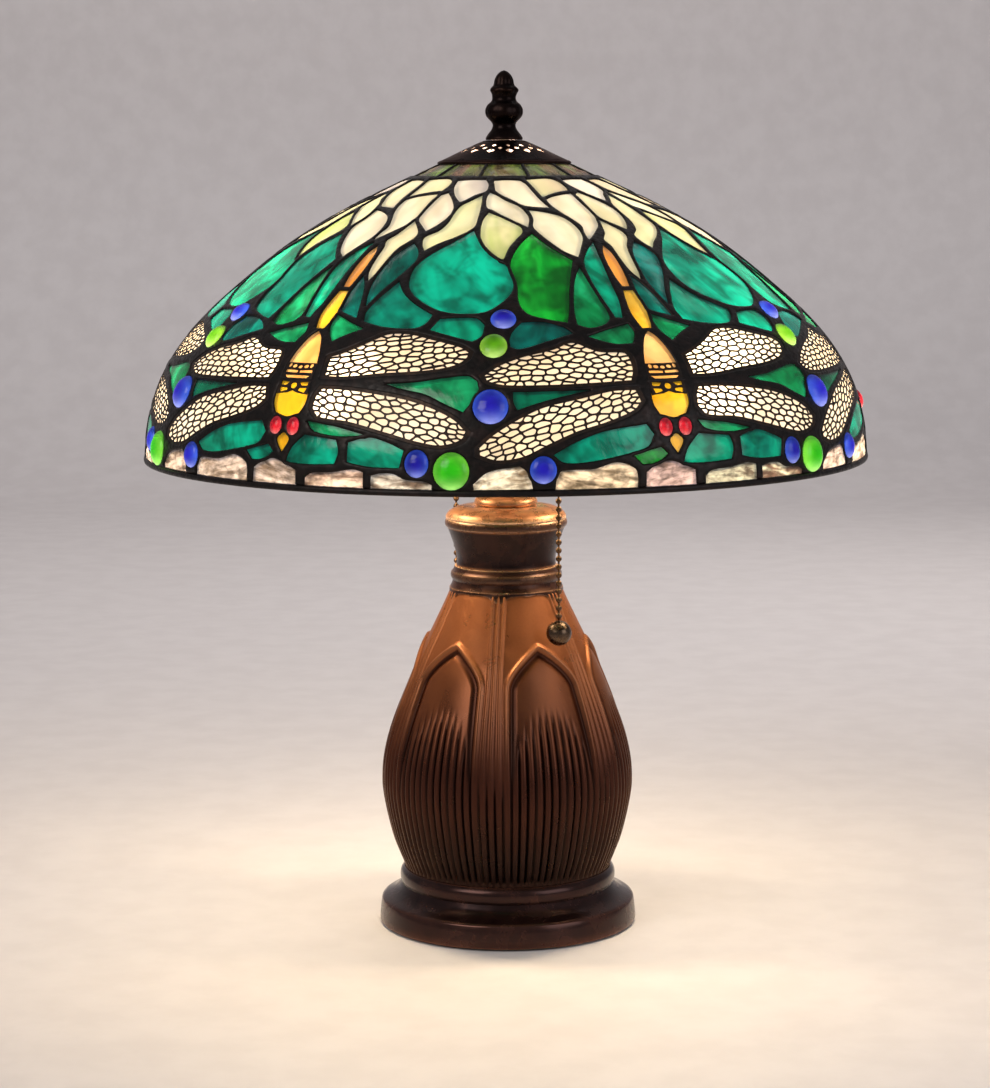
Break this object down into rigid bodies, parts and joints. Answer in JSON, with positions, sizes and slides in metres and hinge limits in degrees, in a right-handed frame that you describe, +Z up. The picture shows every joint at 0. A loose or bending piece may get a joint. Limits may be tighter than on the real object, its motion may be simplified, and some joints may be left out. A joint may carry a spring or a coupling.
{
  "type": "stained glass table lamp",
  "caption": "Table lamp with a leaded stained glass dome shade of dragonflies and jewels, a cast bronze urn base, pull-chain lampholders, vented cap and finial.",
  "frame": {"origin": "middle of the underside of the felt, on the lamp's axis", "axes": "+Z up the lamp's axis; -Y is the front, where the first pull chain hangs; +X and -X are the two bulbs"},
  "size_m": [0.4124, 0.4124, 0.4915],
  "materials": {
    "felt": "short felt, matt",
    "dark_bronze": "near-black bronze patina, satin, warm on the edges",
    "copper_bronze": "copper-brown bronze patina, satin, darker in the hollows",
    "steel": "zinc plated",
    "brass": "aged brass",
    "antique_brass_chain": "antique brass beads",
    "phenolic": "moulded, matt",
    "card": "pressed card sleeve",
    "bulb_glass": "frosted warm white",
    "crown_glass": "rippled, smoky",
    "ivory_glass": "streaky ivory opalescent",
    "green_glass": "streaky teal and green",
    "wing_glass": "creamy, under a dark net",
    "rippled_glass": "clear, heavily rippled, pinkish brown",
    "leadwork": "soldered came with a brown-black patina"
  },
  "bodies": {
    "base": {"felt_pad": "felt", "foot_plinth": "dark_bronze", "neck_sleeve": "dark_bronze", "pipe_cover": "dark_bronze", "vase_body": "copper_bronze", "neck_collar": "copper_bronze", "neck_lip": "copper_bronze", "neck_top_disc": "copper_bronze", "neck_step": "copper_bronze", "lamp_pipe": "steel", "bottom_washer": "steel", "riser_rod": "steel", "shade_wheel": "steel", "socket_nipple_1": "steel", "socket_nipple_2": "steel", "bottom_nut": "brass", "cluster_hub": "brass", "wheel_nut": "brass", "socket_cap_1": "brass", "socket_cap_2": "brass", "socket_shell_1": "brass", "socket_shell_2": "brass", "screw_shell_1": "brass", "screw_shell_2": "brass", "chain_guide_1": "brass", "chain_guide_2": "brass", "cord_bushing": "phenolic", "switch_body_1": "phenolic", "switch_body_2": "phenolic", "insulating_sleeve_1": "card", "insulating_sleeve_2": "card"},
    "shade": {"heat_cap": "dark_bronze", "aperture_ring": "brass", "crown_glass": "crown_glass", "crown_lead_ring": "leadwork", "leaf_glass": "ivory_glass", "field_glass": "green_glass", "dragonfly_glass": "wing_glass", "border_lead_ring": "leadwork", "border_glass": "rippled_glass", "rim_band": "leadwork", "dragonfly_filigree_1": "leadwork", "dragonfly_filigree_2": "leadwork", "dragonfly_filigree_3": "leadwork", "dragonfly_filigree_4": "leadwork", "dragonfly_filigree_5": "leadwork", "dragonfly_filigree_6": "leadwork"},
    "finial": {"finial": "dark_bronze"},
    "pull_1": {"pull_chain_1": "antique_brass_chain", "pull_ball_1": "dark_bronze"},
    "bulb_1": {"bulb_base_1": "steel", "bulb_glass_1": "bulb_glass"},
    "pull_2": {"pull_chain_2": "antique_brass_chain", "pull_ball_2": "dark_bronze"},
    "bulb_2": {"bulb_base_2": "steel", "bulb_glass_2": "bulb_glass"}
  },
  "joints": [
    {"name": "shade_turn", "type": "hinge", "parent": "base", "child": "shade", "pos_m": [0, 0, 0.437], "axis": [0, 0, 1], "continuous": true},
    {"name": "finial_turn", "type": "hinge", "parent": "base", "child": "finial", "pos_m": [0, 0, 0.47], "axis": [0, 0, 1], "continuous": true},
    {"name": "pull_1_travel", "type": "slide", "parent": "base", "child": "pull_1", "axis": [0, 0, -1], "range_m": [0, 0.008], "stiffness_N_per_m": 400, "springref_m": -0.004},
    {"name": "pull_2_travel", "type": "slide", "parent": "base", "child": "pull_2", "axis": [0, 0, -1], "range_m": [0, 0.008], "stiffness_N_per_m": 400, "springref_m": -0.004},
    {"name": "bulb_1_turn", "type": "hinge", "parent": "base", "child": "bulb_1", "pos_m": [0.06, 0, 0.315], "axis": [1, 0, 0], "continuous": true},
    {"name": "bulb_2_turn", "type": "hinge", "parent": "base", "child": "bulb_2", "pos_m": [-0.06, 0, 0.315], "axis": [-1, 0, 0], "continuous": true}
  ]
}
